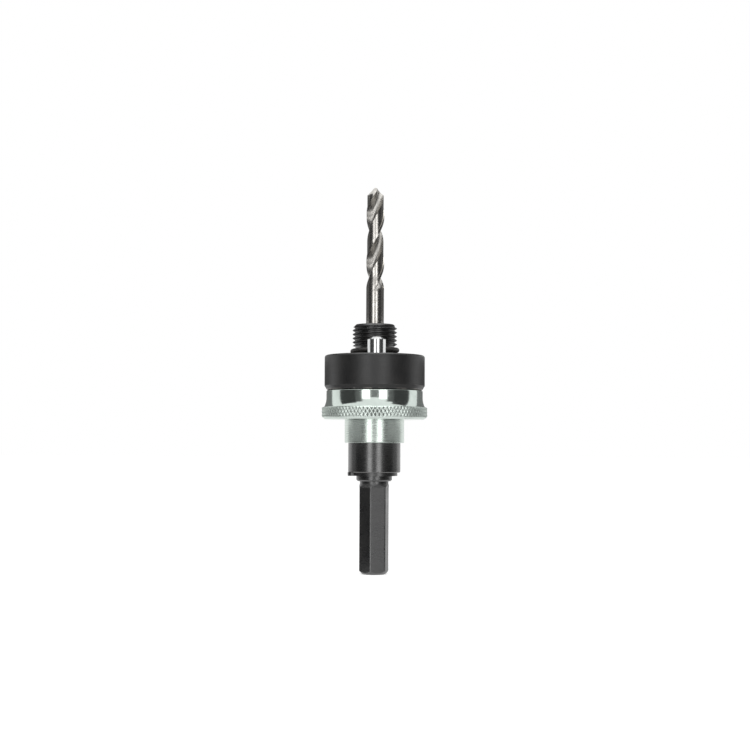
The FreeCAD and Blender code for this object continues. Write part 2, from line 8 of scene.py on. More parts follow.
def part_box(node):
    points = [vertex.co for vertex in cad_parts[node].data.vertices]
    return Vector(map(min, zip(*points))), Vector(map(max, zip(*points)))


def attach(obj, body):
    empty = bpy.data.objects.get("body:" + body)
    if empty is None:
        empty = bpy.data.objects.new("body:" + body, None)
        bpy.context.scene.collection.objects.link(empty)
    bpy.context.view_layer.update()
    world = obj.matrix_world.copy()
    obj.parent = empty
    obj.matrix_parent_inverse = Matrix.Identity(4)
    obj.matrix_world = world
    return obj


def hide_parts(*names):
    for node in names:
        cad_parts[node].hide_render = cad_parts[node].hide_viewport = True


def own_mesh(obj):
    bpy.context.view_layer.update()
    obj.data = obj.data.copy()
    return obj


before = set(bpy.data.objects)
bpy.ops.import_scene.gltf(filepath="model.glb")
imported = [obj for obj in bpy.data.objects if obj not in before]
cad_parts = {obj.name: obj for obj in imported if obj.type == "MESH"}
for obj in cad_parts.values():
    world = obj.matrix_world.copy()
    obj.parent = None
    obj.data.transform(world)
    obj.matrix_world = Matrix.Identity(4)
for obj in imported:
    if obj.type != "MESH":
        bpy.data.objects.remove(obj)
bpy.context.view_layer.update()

MM = 0.001
CAMERA_AZIMUTH = -92.8
CAMERA_ELEVATION = -2.9
CAMERA_DISTANCE = 0.482
CAMERA_ROLL = 0.28
CAMERA_LENS = 64.8
CAMERA_SENSOR = 36
TARGET_HEIGHT = 0.07058
TARGET_SHIFT = 0.00011
scene = bpy.context.scene


# Helpers


def direction(azimuth, elevation):
    """A unit vector away from the object, by two angles in degrees."""
    turn = math.radians(azimuth)
    rise = math.radians(elevation)
    return Vector((math.cos(turn) * math.cos(rise), math.sin(turn) * math.cos(rise), math.sin(rise)))


def new_object(name, mesh):
    made = bpy.data.objects.new(name, mesh)
    scene.collection.objects.link(made)
    return made


def mesh_from(name, points, faces):
    mesh = bpy.data.meshes.new(name)
    mesh.from_pydata(points, [], faces)
    mesh.validate()
    mesh.update()
    return mesh


def smooth(piece, angle=32):
    """Round shading, with edges above the angle in degrees left sharp."""
    mesh = piece.data
    mesh.polygons.foreach_set("use_smooth", [True] * len(mesh.polygons))
    mesh.set_sharp_from_angle(angle=math.radians(angle))
    mesh.update()


def copy_of(node, name):
    """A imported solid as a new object, with its doubled corners joined."""
    made = bmesh.new()
    made.from_mesh(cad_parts[node].data)
    bmesh.ops.remove_doubles(made, verts=made.verts, dist=2e-7)
    made.verts.index_update()
    points = [v.co.copy() for v in made.verts]
    faces = [[v.index for v in f.verts] for f in made.faces]
    made.free()
    return new_object(name, mesh_from(name, points, faces))


def cut(piece, tool):
    """Take the tool's shape out of the piece, and the tool out of the scene."""
    modifier = piece.modifiers.new("cut", "BOOLEAN")
    modifier.object = tool
    modifier.operation = "DIFFERENCE"
    modifier.solver = "MANIFOLD"
    bpy.context.view_layer.update()
    done = piece.evaluated_get(bpy.context.evaluated_depsgraph_get())
    mesh = bpy.data.meshes.new_from_object(done)
    piece.modifiers.clear()
    piece.data = mesh
    bpy.data.objects.remove(tool)


def ring_mesh(name, loop, columns):
    """A closed cross-section of (radius, height) turned round the axis, in millimetres.

    A radius may be a function of the turn.
    """
    points = []
    for column in range(columns):
        turn = 2 * math.pi * column / columns
        for radius, height in loop:
            reach = radius(turn) if callable(radius) else radius
            points.append((reach * math.cos(turn) * MM, reach * math.sin(turn) * MM, height * MM))
    faces = []
    count = len(loop)
    for column in range(columns):
        here = column * count
        there = (column + 1) % columns * count
        for row in range(count):
            after = (row + 1) % count
            faces.append((here + row, here + after, there + after, there + row))
    return mesh_from(name, points, faces)


def arc(start, end, radius, turn, steps):
    """Points after start up to end on an arc; turn 1 bends away from the axis and -1 towards it."""
    start_x, start_y = start
    end_x, end_y = end
    length = math.hypot(end_x - start_x, end_y - start_y)
    off = math.sqrt(radius * radius - length * length / 4)
    side_x = (end_y - start_y) / length
    side_y = -(end_x - start_x) / length
    middle_x = (start_x + end_x) / 2 - turn * side_x * off
    middle_y = (start_y + end_y) / 2 - turn * side_y * off
    first = math.atan2(start_y - middle_y, start_x - middle_x)
    last = math.atan2(end_y - middle_y, end_x - middle_x)
    sweep = (last - first + math.pi) % (2 * math.pi) - math.pi
    points = []
    for step in range(1, steps + 1):
        angle = first + sweep * step / steps
        points.append((middle_x + radius * math.cos(angle), middle_y + radius * math.sin(angle)))
    return points


# Camera

toward_camera = direction(CAMERA_AZIMUTH, CAMERA_ELEVATION)
camera_right = Vector((0, 0, 1)).cross(toward_camera).normalized()
aim = Vector((0, 0, TARGET_HEIGHT)) + camera_right * TARGET_SHIFT
camera_data = bpy.data.cameras.new("camera")
camera = bpy.data.objects.new("camera", camera_data)
scene.collection.objects.link(camera)
camera_data.sensor_width = CAMERA_SENSOR
camera_data.sensor_height = CAMERA_SENSOR
camera_data.lens = CAMERA_LENS
camera_data.clip_start = 0.01
camera_data.clip_end = 20
camera.location = aim + toward_camera * CAMERA_DISTANCE
camera_turn = toward_camera.to_track_quat("Z", "Y")
camera.rotation_euler = (camera_turn @ Quaternion((0, 0, 1), math.radians(CAMERA_ROLL))).to_euler()
scene.camera = camera


# Materials


class Finish:
    """A node material on one Principled shader, with textures laid in the part's own metres."""

    def __init__(self, name, colour, metallic, roughness):
        self.material = bpy.data.materials.new(name)
        self.material.use_nodes = True
        self.nodes = self.material.node_tree.nodes
        self.links = self.material.node_tree.links
        self.shader = self.nodes["Principled BSDF"]
        self.shader.inputs["Base Color"].default_value = (*colour, 1)
        self.shader.inputs["Metallic"].default_value = metallic
        self.shader.inputs["Roughness"].default_value = roughness
        self.place = self.nodes.new("ShaderNodeTexCoord").outputs["Object"]
        self.height = None
        self.parts = self.nodes.new("ShaderNodeSeparateXYZ")
        self.links.new(self.place, self.parts.inputs[0])

    def math(self, kind, *values):
        node = self.nodes.new("ShaderNodeMath")
        node.operation = kind
        for socket, value in zip(node.inputs, values):
            if isinstance(value, (int, float)):
                socket.default_value = value
            else:
                self.links.new(value, socket)
        return node.outputs[0]

    def radius(self):
        squares = self.math("MULTIPLY", self.parts.outputs[0], self.parts.outputs[0])
        squares = self.math("MULTIPLY_ADD", self.parts.outputs[1], self.parts.outputs[1], squares)
        return self.math("SQRT", squares)

    def z(self):
        return self.parts.outputs[2]

    def turned_place(self, across, along):
        """Coordinates that change fast from one turning line to the next and slowly round the piece."""
        step = self.math("MULTIPLY_ADD", self.radius(), 1.37, self.z())
        place = self.nodes.new("ShaderNodeCombineXYZ")
        self.links.new(self.math("MULTIPLY", self.parts.outputs[0], along), place.inputs[0])
        self.links.new(self.math("MULTIPLY", self.parts.outputs[1], along), place.inputs[1])
        self.links.new(self.math("MULTIPLY", step, across), place.inputs[2])
        return place.outputs[0]

    def noise(self, scale, detail=3.0, rough=0.5, place=None, stretch=None):
        node = self.nodes.new("ShaderNodeTexNoise")
        node.inputs["Scale"].default_value = scale
        node.inputs["Detail"].default_value = detail
        node.inputs["Roughness"].default_value = rough
        source = place or self.place
        if stretch:
            mapping = self.nodes.new("ShaderNodeMapping")
            mapping.inputs["Scale"].default_value = stretch
            self.links.new(source, mapping.inputs["Vector"])
            source = mapping.outputs[0]
        self.links.new(source, node.inputs["Vector"])
        return node.outputs["Fac"]

    def span(self, value, low, high, out_low=0.0, out_high=1.0):
        node = self.nodes.new("ShaderNodeMapRange")
        node.inputs["From Min"].default_value = low
        node.inputs["From Max"].default_value = high
        node.inputs["To Min"].default_value = out_low
        node.inputs["To Max"].default_value = out_high
        self.links.new(value, node.inputs["Value"])
        return node.outputs[0]

    def band(self, value, middle, half_width, blur):
        away = self.math("ABSOLUTE", self.math("SUBTRACT", value, middle))
        return self.span(away, half_width + blur, half_width)

    def mix(self, factor, first, second):
        node = self.nodes.new("ShaderNodeMix")
        node.data_type = "RGBA"
        for socket, value in ((node.inputs[0], factor), (node.inputs[6], first), (node.inputs[7], second)):
            if isinstance(value, (int, float)):
                socket.default_value = value
            elif isinstance(value, tuple):
                socket.default_value = (*value, 1)
            else:
                self.links.new(value, socket)
        return node.outputs[2]

    def set(self, name, value):
        self.links.new(value, self.shader.inputs[name])

    def bump(self, value, strength, distance):
        node = self.nodes.new("ShaderNodeBump")
        node.inputs["Strength"].default_value = strength
        node.inputs["Distance"].default_value = distance
        self.links.new(value, node.inputs["Height"])
        if self.height is not None:
            self.links.new(self.height, node.inputs["Normal"])
        self.height = node.outputs[0]
        self.set("Normal", self.height)


OXIDE_TONES = ((0.0075, 0.008, 0.0088), (0.014, 0.0135, 0.013))
WORN_STEEL = (0.33, 0.31, 0.29)
DULL_IOR = 1.45
DULL_FADE = 0.0003
DULL_BELOW_TOP = 0.0011
WEAR_WANDER = 0.0004


def black_oxide(name, roughness, lines, spread, ior=2.0, wear=(), grain=0.25, ridges=0.35, dull_from=None):
    """Dark coating on turned steel: near black, with fine turning lines.

    Each wear band is a height, a half width, a blur and an amount. Above the height dull_from the coating
    is dull.
    """
    finish = Finish(name, (0.02, 0.02, 0.021), 0.0, roughness)
    finish.shader.inputs["IOR"].default_value = ior
    if dull_from:
        finish.set("IOR", finish.span(finish.z(), dull_from, dull_from + DULL_FADE, ior, DULL_IOR))
    finish.shader.inputs["Anisotropic"].default_value = spread
    patches = finish.noise(170, 4)
    colour = finish.mix(finish.span(patches, 0.35, 0.7), *OXIDE_TONES)
    fine = finish.noise(1, 3, 0.6, place=finish.turned_place(lines, 130))
    specks = finish.noise(2600, 2)
    level = finish.math("MULTIPLY_ADD", finish.span(fine, 0.3, 0.7), 0.12, roughness - 0.06)
    level = finish.math("MULTIPLY_ADD", finish.span(patches, 0.3, 0.7), 0.08, level)
    if wear:
        worn = None
        for middle, half_width, blur, amount in wear:
            wander = finish.noise(900, 4, 0.7, stretch=(0.35, 0.35, 1.0))
            ragged = finish.math("MULTIPLY_ADD", wander, WEAR_WANDER, finish.z())
            ragged = finish.math("SUBTRACT", ragged, WEAR_WANDER / 2)
            rubbed = finish.span(finish.noise(330, 3, 0.7), 0.42, 0.62)
            edge = finish.math("MULTIPLY", finish.band(ragged, middle, half_width, blur), rubbed)
            edge = finish.math("MULTIPLY", edge, amount)
            worn = edge if worn is None else finish.math("MAXIMUM", worn, edge)
        colour = finish.mix(worn, colour, WORN_STEEL)
        finish.set("Metallic", worn)
    finish.set("Base Color", colour)
    finish.set("Roughness", level)
    finish.bump(fine, ridges, 0.00003)
    finish.bump(specks, grain, 0.00002)
    return finish.material


SHADE = 0.86


def bright_metal(name, colour, roughness, lines, spread, along, patch=0.06):
    """Ground or drawn bright steel with fine lines round the axis."""
    finish = Finish(name, colour, 1.0, roughness)
    finish.shader.inputs["Anisotropic"].default_value = spread
    patches = finish.noise(260, 4)
    fine = finish.noise(1, 4, 0.65, place=finish.turned_place(lines, along))
    shade = tuple(part * SHADE for part in colour)
    tone = finish.mix(finish.span(patches, 0.35, 0.68), colour, shade)
    finish.set("Base Color", tone)
    level = finish.math("MULTIPLY_ADD", finish.span(fine, 0.3, 0.7), patch, roughness - patch / 2)
    finish.set("Roughness", finish.math("MULTIPLY_ADD", patches, patch, level))
    finish.bump(fine, 0.35, 0.00002)
    return finish.material


ZINC_TONES = ((0.685, 0.76, 0.715), (0.612, 0.68, 0.64))
HUB_TONE = (0.645, 0.715, 0.665)
KNURL_TONE = (0.655, 0.725, 0.68)
SPOT_TONE = (0.92, 0.94, 0.93)
RIM_ABOVE_FOOT = 0.00835
RIM_HEIGHT = 0.00435
RIM_BLUR = 0.0002


def zinc_plate():
    """Bright zinc on turned steel: smooth on the neck, duller on the knurl, and brushed round the hub."""
    finish = Finish("zinc_plate", ZINC_TONES[0], 1.0, 0.13)
    finish.shader.inputs["Anisotropic"].default_value = 0.4
    rim_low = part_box("knurled_sleeve")[0].z + RIM_ABOVE_FOOT
    rim_high = rim_low + RIM_HEIGHT
    patches = finish.noise(260, 4)
    coarse = finish.noise(1, 4, 0.65, place=finish.turned_place(5200, 70))
    fine = finish.noise(1, 4, 0.65, place=finish.turned_place(8000, 90))
    hub = finish.span(finish.z(), rim_low + RIM_BLUR, rim_low - RIM_BLUR)
    above_rim_low = finish.span(finish.z(), rim_low, rim_low + RIM_BLUR)
    below_rim_high = finish.span(finish.z(), rim_high + RIM_BLUR / 2, rim_high)
    knurl = finish.math("MULTIPLY", above_rim_low, below_rim_high)
    spots = finish.span(finish.noise(1500, 3, 0.7), 0.66, 0.74)
    tone = finish.mix(finish.span(patches, 0.35, 0.68), *ZINC_TONES)
    for place, amount, colour in ((hub, 0.8, HUB_TONE), (knurl, 0.5, KNURL_TONE), (spots, 0.5, SPOT_TONE)):
        tone = finish.mix(finish.math("MULTIPLY", place, amount), tone, colour)
    finish.set("Base Color", tone)
    level = finish.math("MULTIPLY_ADD", finish.span(fine, 0.3, 0.7), 0.05, 0.07)
    brushed = finish.math("MULTIPLY", hub, finish.span(coarse, 0.36, 0.64, 0.08, 0.2))
    level = finish.math("ADD", brushed, level)
    level = finish.math("MULTIPLY_ADD", knurl, 0.2, level)
    finish.set("Roughness", finish.math("MULTIPLY_ADD", patches, 0.06, level))
    finish.bump(fine, 0.12, 0.00002)
    finish.bump(finish.math("MULTIPLY", coarse, hub), 0.14, 0.00003)
    return finish.material


FLUTE_DEPTHS = (0.0029, 0.0027)


def drill_steel():
    """Ground high-speed steel: round grinding lines on the lands, and a rougher finish in the flutes."""
    finish = Finish("high_speed_steel", (0.60, 0.58, 0.55), 1.0, 0.2)
    finish.shader.inputs["Anisotropic"].default_value = 0.35
    lines = finish.noise(1, 4, 0.65, place=finish.turned_place(9000, 200))
    patches = finish.noise(420, 4)
    tone = finish.mix(finish.span(patches, 0.35, 0.7), (0.56, 0.545, 0.515), (0.43, 0.415, 0.39))
    finish.set("Base Color", tone)
    level = finish.math("MULTIPLY_ADD", finish.span(lines, 0.3, 0.7), 0.1, 0.12)
    level = finish.math("MULTIPLY_ADD", finish.span(finish.radius(), *FLUTE_DEPTHS), 0.16, level)
    finish.set("Roughness", finish.math("MULTIPLY_ADD", patches, 0.08, level))
    finish.bump(lines, 0.4, 0.00002)
    return finish.material


def rubber():
    finish = Finish("seal_rubber", (0.021, 0.0195, 0.018), 0.0, 0.55)
    finish.shader.inputs["IOR"].default_value = 1.55
    patches = finish.noise(700, 4)
    dust = finish.span(finish.noise(2400, 3, 0.7), 0.55, 0.75)
    tone = finish.mix(finish.span(patches, 0.35, 0.7), (0.018, 0.017, 0.016), (0.034, 0.031, 0.028))
    finish.set("Base Color", finish.mix(finish.math("MULTIPLY", dust, 0.25), tone, (0.12, 0.11, 0.10)))
    finish.set("Roughness", finish.span(patches, 0.2, 0.8, 0.42, 0.62))
    finish.bump(finish.noise(3000, 3), 0.3, 0.00003)
    return finish.material


ring_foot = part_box("drive_ring")[0].z
cup_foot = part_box("spring_cup")[0].z
nose_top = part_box("arbor_body")[1].z
ring_wear = [(ring_foot + 0.00038, 0.0001, 0.00022, 0.8), (ring_foot + 0.00176, 0.00005, 0.0001, 0.12)]
cup_wear = [(cup_foot + 0.00018, 0.00012, 0.0001, 0.3)]
ring_black = black_oxide("black_oxide_ring", 0.36, 5200, 0.2, ior=1.62, wear=ring_wear, grain=0.35)
arbor_black = black_oxide(
    "black_oxide_arbor", 0.27, 6500, 0.3, grain=0.2, ridges=0.15, dull_from=nose_top - DULL_BELOW_TOP
)
cup_black = black_oxide(
    "black_oxide_cup", 0.21, 7000, 0.2, ior=2.1, wear=cup_wear, grain=0.15, ridges=0.12
)
small_black = black_oxide("black_oxide_small", 0.3, 6500, 0.2)
zinc = zinc_plate()
pin_steel = bright_metal("ground_pin_steel", (0.79, 0.80, 0.80), 0.12, 9000, 0.3, 200, patch=0.04)
spring_steel = bright_metal("spring_steel", (0.33, 0.32, 0.31), 0.3, 3000, 0.0, 900)
hss = drill_steel()
seal = rubber()


def dress(piece, material):
    if not piece.data.materials:
        piece.data.materials.append(material)
    for slot in piece.material_slots:
        slot.link = "OBJECT"
        slot.material = material


# Arbor body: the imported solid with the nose's thread cut in it

THREAD_PITCH = 25.4 / 18
THREAD_RADIUS = 7.9375
THREAD_DEPTH = 0.84
THREAD_FLANK = 30
THREAD_STEPS = 96
ROOT_FLAT = 0.14
CREST_SHARE = 1 / 8
OVERCUT = 0.06
NOSE_TOP = nose_top / MM
THREAD_LENGTH = 8.6
THREAD_PAST_TOP = 1.5
CREST_BELOW_TOP = 4.92


def thread_section():
    """The space between two crests, as (radius, height from its middle)."""
    slope = math.tan(math.radians(THREAD_FLANK))
    mouth = THREAD_PITCH * (1 - CREST_SHARE) / 2
    root = THREAD_RADIUS - THREAD_DEPTH
    blend = ROOT_FLAT / 2
    half = [
        (THREAD_RADIUS + OVERCUT, mouth + OVERCUT * slope),
        (root + blend, mouth - (THREAD_DEPTH - blend) * slope),
        (root, blend),
    ]
    return half + [(radius, -height) for radius, height in reversed(half)]


def thread_tool():
    """The space between the threads, as one long ridge wound round the nose."""
    section = thread_section()
    crest = NOSE_TOP - CREST_BELOW_TOP
    first = round((NOSE_TOP - THREAD_LENGTH - crest) / THREAD_PITCH * THREAD_STEPS)
    last = round((NOSE_TOP + THREAD_PAST_TOP - crest) / THREAD_PITCH * THREAD_STEPS)
    points = []
    faces = []
    for step in range(first, last + 1):
        turn = 2 * math.pi * step / THREAD_STEPS
        height = crest + THREAD_PITCH * (step / THREAD_STEPS + 0.5)
        for radius, offset in section:
            across = -radius * math.cos(turn) * MM
            deep = -radius * math.sin(turn) * MM
            points.append((across, deep, (height + offset) * MM))
    size = len(section)
    for step in range(last - first):
        here = step * size
        there = here + size
        for k in range(size):
            after = (k + 1) % size
            faces.append((here + k, here + after, there + after, there + k))
    faces.append(tuple(range(size))[::-1])
    faces.append(tuple((last - first) * size + k for k in range(size)))
    tool = new_object("thread_tool", mesh_from("thread_tool", points, faces))
    made = bmesh.new()
    made.from_mesh(tool.data)
    bmesh.ops.recalc_face_normals(made, faces=made.faces)
    made.to_mesh(tool.data)
    made.free()
    return tool


arbor = copy_of("arbor_body", "threaded_arbor_body")
cut(arbor, thread_tool())
smooth(arbor, 16)
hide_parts("arbor_body")
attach(arbor, "arbor")
dress(arbor, arbor_black)


# Knurled sleeve: the turned outline, with crossed knurling on its rim

TEETH = 92
COLUMNS_PER_TOOTH = 8
KNURL_DEPTH = 0.3
KNURL_PERIOD = 2.37
KNURL_START = 0.3
KNURL_ROWS = 30
KNURL_LOW = 9.03
KNURL_HIGH = 12.55
RIM_RADIUS = 18.825
RIM_BEVEL_WIDTH = 1.2
RIM_BEVEL_HEIGHT = 0.95
RIM_TOP = 12.7
RIM_ROUND = 0.7
RIM_ROUND_REST = (0.535, 0.023)
RIM_EDGE_REACH = 0.075
RIM_EDGE_RISE = 0.06
RIM_EDGE_ROUND = 0.12
PLAIN_BEVEL = (0.735, 0.58)
HUB_RADIUS = 10.6
HUB_HEIGHT = 8.35
HUB_ROUND = 0.3
HUB_FILLET = 0.2
ROOM_RADIUS = 9.45
ROOM_TOP = 12.85
ROOM_BEVEL = (0.1, 0.15)
GUIDE_RADIUS = 6.45
MOUTH_RADIUS = 8.0375
MOUTH_FLOOR = 15.85
MOUTH_BEVEL = (0.0625, 0.07)
SWEEP_FOOT = 17.97
SWEEP_RADIUS = 7.0
NECK_RADIUS = 17.15
NECK_FOOT = 16.0
NECK_ROUND = 0.25
SLEEVE_HEIGHT = 18.55
NORMAL_HOLD = 0.1
SLEEVE_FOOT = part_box("knurled_sleeve")[0].z / MM
PIN_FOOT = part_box("drive_pin_front")[0].z / MM
PIN_RADIUS = 3.175
PIN_CIRCLE = 12.7
PIN_HOLE_DEPTH = 6.4


def knurled(limit, height):
    """The radius of the rim at this height, as a function of the turn."""
    def reach(turn):
        across = TEETH * turn / (2 * math.pi)
        along = (height - KNURL_START) / KNURL_PERIOD
        groove = 0.0
        for place in (across + along, across - along):
            groove = max(groove, abs(2 * (place % 1) - 1))
        return min(limit, RIM_RADIUS - KNURL_DEPTH * groove)
    return reach


def rim_limit(height):
    """The plain rim's radius: a bevel below, a round above and straight between them."""
    if height < HUB_HEIGHT + RIM_BEVEL_HEIGHT:
        return RIM_RADIUS - RIM_BEVEL_WIDTH + (height - HUB_HEIGHT) * RIM_BEVEL_WIDTH / RIM_BEVEL_HEIGHT
    if height > RIM_TOP - RIM_ROUND:
        rise = height - (RIM_TOP - RIM_ROUND)
        return RIM_RADIUS - RIM_ROUND + math.sqrt(max(0.0, RIM_ROUND ** 2 - rise ** 2))
    return RIM_RADIUS


def sleeve_outline():
    """The sleeve's cross-section, with heights above the foot of its hub.

    The points NORMAL_HOLD from a round's end keep the shading of the straight wall flat.
    """
    hub_side = HUB_RADIUS - HUB_ROUND
    hub_low = (HUB_RADIUS, HUB_ROUND)
    hub_high = (HUB_RADIUS, HUB_HEIGHT - HUB_FILLET)
    rim_foot = RIM_RADIUS - RIM_BEVEL_WIDTH
    rim_corner = (rim_foot - RIM_EDGE_REACH, HUB_HEIGHT)
    rim_edge = (rim_foot + RIM_EDGE_REACH, HUB_HEIGHT + RIM_EDGE_RISE)
    neck_top = SLEEVE_HEIGHT - NECK_ROUND
    loop = [
        (MOUTH_RADIUS + MOUTH_BEVEL[0], SLEEVE_HEIGHT),
        (MOUTH_RADIUS, SLEEVE_HEIGHT - MOUTH_BEVEL[1]),
        (MOUTH_RADIUS, MOUTH_FLOOR),
        (GUIDE_RADIUS, MOUTH_FLOOR),
        (GUIDE_RADIUS, ROOM_TOP),
        (ROOM_RADIUS, ROOM_TOP),
        (ROOM_RADIUS, ROOM_BEVEL[1]),
        (ROOM_RADIUS + ROOM_BEVEL[0], 0.0),
        (hub_side, 0.0),
        *arc((hub_side, 0.0), hub_low, HUB_ROUND, 1, 3),
        (HUB_RADIUS, HUB_ROUND + NORMAL_HOLD),
        (HUB_RADIUS, HUB_HEIGHT - HUB_FILLET - NORMAL_HOLD),
        hub_high,
        *arc(hub_high, (HUB_RADIUS + HUB_FILLET, HUB_HEIGHT), HUB_FILLET, -1, 2),
        rim_corner,
        *arc(rim_corner, rim_edge, RIM_EDGE_ROUND, 1, 2),
        (rim_foot + PLAIN_BEVEL[0], HUB_HEIGHT + PLAIN_BEVEL[1]),
    ]
    for row in range(KNURL_ROWS + 1):
        height = KNURL_LOW + (KNURL_HIGH - KNURL_LOW) * row / KNURL_ROWS
        loop.append((knurled(rim_limit(height), height), height))
    loop += [
        (RIM_RADIUS - RIM_ROUND_REST[0], RIM_TOP - RIM_ROUND_REST[1]),
        (RIM_RADIUS - RIM_ROUND, RIM_TOP),
        (SWEEP_FOOT, RIM_TOP),
        *arc((SWEEP_FOOT, RIM_TOP), (NECK_RADIUS, NECK_FOOT), SWEEP_RADIUS, -1, 12),
        (NECK_RADIUS, NECK_FOOT + NORMAL_HOLD),
        (NECK_RADIUS, neck_top - NORMAL_HOLD),
        (NECK_RADIUS, neck_top),
        *arc((NECK_RADIUS, neck_top), (NECK_RADIUS - NECK_ROUND, SLEEVE_HEIGHT), NECK_ROUND, 1, 3),
    ]
    return [(radius, SLEEVE_FOOT + height) for radius, height in loop]


def pin_hole(side):
    """The tool for the blind hole that a drive pin is pressed into."""
    made = bmesh.new()
    radius = PIN_RADIUS * MM
    depth = PIN_HOLE_DEPTH * MM
    middle = (0, side * PIN_CIRCLE * MM, PIN_FOOT * MM + depth / 2)
    bmesh.ops.create_cone(made, cap_ends=True, segments=72, radius1=radius, radius2=radius, depth=depth)
    bmesh.ops.translate(made, verts=made.verts, vec=middle)
    mesh = bpy.data.meshes.new("pin_hole")
    made.to_mesh(mesh)
    made.free()
    return new_object("pin_hole", mesh)


sleeve_mesh = ring_mesh("knurled_sleeve_turned", sleeve_outline(), TEETH * COLUMNS_PER_TOOTH)
sleeve = new_object("knurled_sleeve_turned", sleeve_mesh)
for side in (-1, 1):
    cut(sleeve, pin_hole(side))
smooth(sleeve, 38)
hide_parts("knurled_sleeve")
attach(sleeve, "collar")
dress(sleeve, zinc)


# Return spring: round wire, closed and ground at both ends

SPRING_LENGTH = 22.1
SPRING_RADIUS = 7.325
SPRING_WIRE = 1.2
SPRING_TURNS = 6.5
SPRING_STEPS = 40
SPRING_SIDES = 12
CUP_FLOOR = 1.2
SPRING_LOW = cup_foot / MM + CUP_FLOOR


def spring_mesh():
    low = SPRING_LOW
    high = SPRING_LOW + SPRING_LENGTH
    wire = SPRING_WIRE / 2
    points = []
    faces = []
    count = int(SPRING_TURNS * SPRING_STEPS)
    for step in range(count + 1):
        share = step / count
        turn = 2 * math.pi * SPRING_TURNS * share
        height = low + (high - low) * share
        for k in range(SPRING_SIDES):
            round_wire = 2 * math.pi * k / SPRING_SIDES
            reach = SPRING_RADIUS + wire * math.cos(round_wire)
            level = min(max(height + wire * math.sin(round_wire), low), high)
            points.append((reach * math.cos(turn) * MM, reach * math.sin(turn) * MM, level * MM))
    for step in range(count):
        here = step * SPRING_SIDES
        there = here + SPRING_SIDES
        for k in range(SPRING_SIDES):
            after = (k + 1) % SPRING_SIDES
            faces.append((here + k, there + k, there + after, here + after))
    faces.append(tuple(range(SPRING_SIDES)))
    faces.append(tuple(count * SPRING_SIDES + k for k in range(SPRING_SIDES))[::-1])
    return mesh_from("coiled_return_spring", points, faces)


spring = new_object("coiled_return_spring", spring_mesh())
smooth(spring)
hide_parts("return_spring")
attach(spring, "arbor")
dress(spring, spring_steel)
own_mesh(spring)


# Rubber seal: a plain ring that sits a little askew in its groove

SEAL_TILT = 1.7
SEAL_COLUMNS = 128
SEAL_ROWS = 24


def seal_mesh():
    low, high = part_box("o_ring")
    wire = (high.z - low.z) / 2 / MM
    middle = high.x / MM - wire
    level = (low.z + high.z) / 2 / MM
    slope = math.tan(math.radians(SEAL_TILT))
    points = []
    faces = []
    for column in range(SEAL_COLUMNS):
        turn = 2 * math.pi * column / SEAL_COLUMNS
        lean = math.cos(turn) * slope
        for row in range(SEAL_ROWS):
            section = 2 * math.pi * row / SEAL_ROWS
            reach = middle + wire * math.cos(section)
            height = level + wire * math.sin(section) + middle * lean
            points.append((reach * math.cos(turn) * MM, reach * math.sin(turn) * MM, height * MM))
    for column in range(SEAL_COLUMNS):
        here = column * SEAL_ROWS
        there = (column + 1) % SEAL_COLUMNS * SEAL_ROWS
        for row in range(SEAL_ROWS):
            after = (row + 1) % SEAL_ROWS
            faces.append((here + row, there + row, there + after, here + after))
    return mesh_from("seal_ring", points, faces)


seal_ring = new_object("seal_ring", seal_mesh())
smooth(seal_ring, 60)
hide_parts("o_ring")
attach(seal_ring, "arbor")
dress(seal_ring, seal)


# Pilot drill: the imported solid, with its relief and flutes run out smoothly into the plain shank

DRILL_RADIUS = 3.175
FLUTE_REACH = 38.05
FLUTE_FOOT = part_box("pilot_drill")[1].z / MM - FLUTE_REACH
FLUTE_RUN_OUT = 5.8
RELIEF_RUN_OUT = 4.5
RELIEF_END = 6.5
RELIEF_INSIDE = 2.6
RELIEF_BLEND = 0.25
BLEND_TOP = 7.0
AXIS_RADIUS = 0.5
BLEND_CUTS = 19
BLEND_STEP = 0.35


def eased(value):
    value = min(1.0, max(0.0, value))
    return value * value * (3 - 2 * value)


def blended_drill():
    piece = copy_of("pilot_drill", "blended_pilot_drill")
    made = bmesh.new()
    made.from_mesh(piece.data)
    for step in range(1, BLEND_CUTS + 1):
        level = Vector((0, 0, (FLUTE_FOOT + step * BLEND_STEP) * MM))
        everything = made.verts[:] + made.edges[:] + made.faces[:]
        bmesh.ops.bisect_plane(made, geom=everything, dist=1e-8, plane_co=level, plane_no=(0, 0, 1))
    for vertex in made.verts:
        height = vertex.co.z / MM - FLUTE_FOOT
        reach = math.hypot(vertex.co.x, vertex.co.y) / MM
        if -0.02 < height < BLEND_TOP and AXIS_RADIUS < reach < DRILL_RADIUS:
            fluted = eased((FLUTE_RUN_OUT - height) / FLUTE_RUN_OUT)
            relieved = eased((RELIEF_END - height) / RELIEF_RUN_OUT)
            weight = fluted + (relieved - fluted) * eased((reach - RELIEF_INSIDE) / RELIEF_BLEND)
            grown = 1 + (DRILL_RADIUS / reach - 1) * weight
            vertex.co.x *= grown
            vertex.co.y *= grown
    made.to_mesh(piece.data)
    made.free()
    return piece


drill = blended_drill()
smooth(drill, 30)
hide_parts("pilot_drill")
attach(drill, "arbor")
dress(drill, hss)


# Carried-over solids

for node, material in (
    ("drive_ring", ring_black),
    ("drive_pin_front", pin_steel),
    ("drive_pin_rear", pin_steel),
    ("spring_cup", cup_black),
    ("rear_circlip", small_black),
    ("pilot_set_screw", small_black),
):
    dress(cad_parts[node], material)


# Cards, lamps, world and floor

STAGE_MIDDLE = Vector((0, 0, 0.06))
FAR_REACH = 0.95
NEAR_REACH = 0.045
CARD_STEP = 4


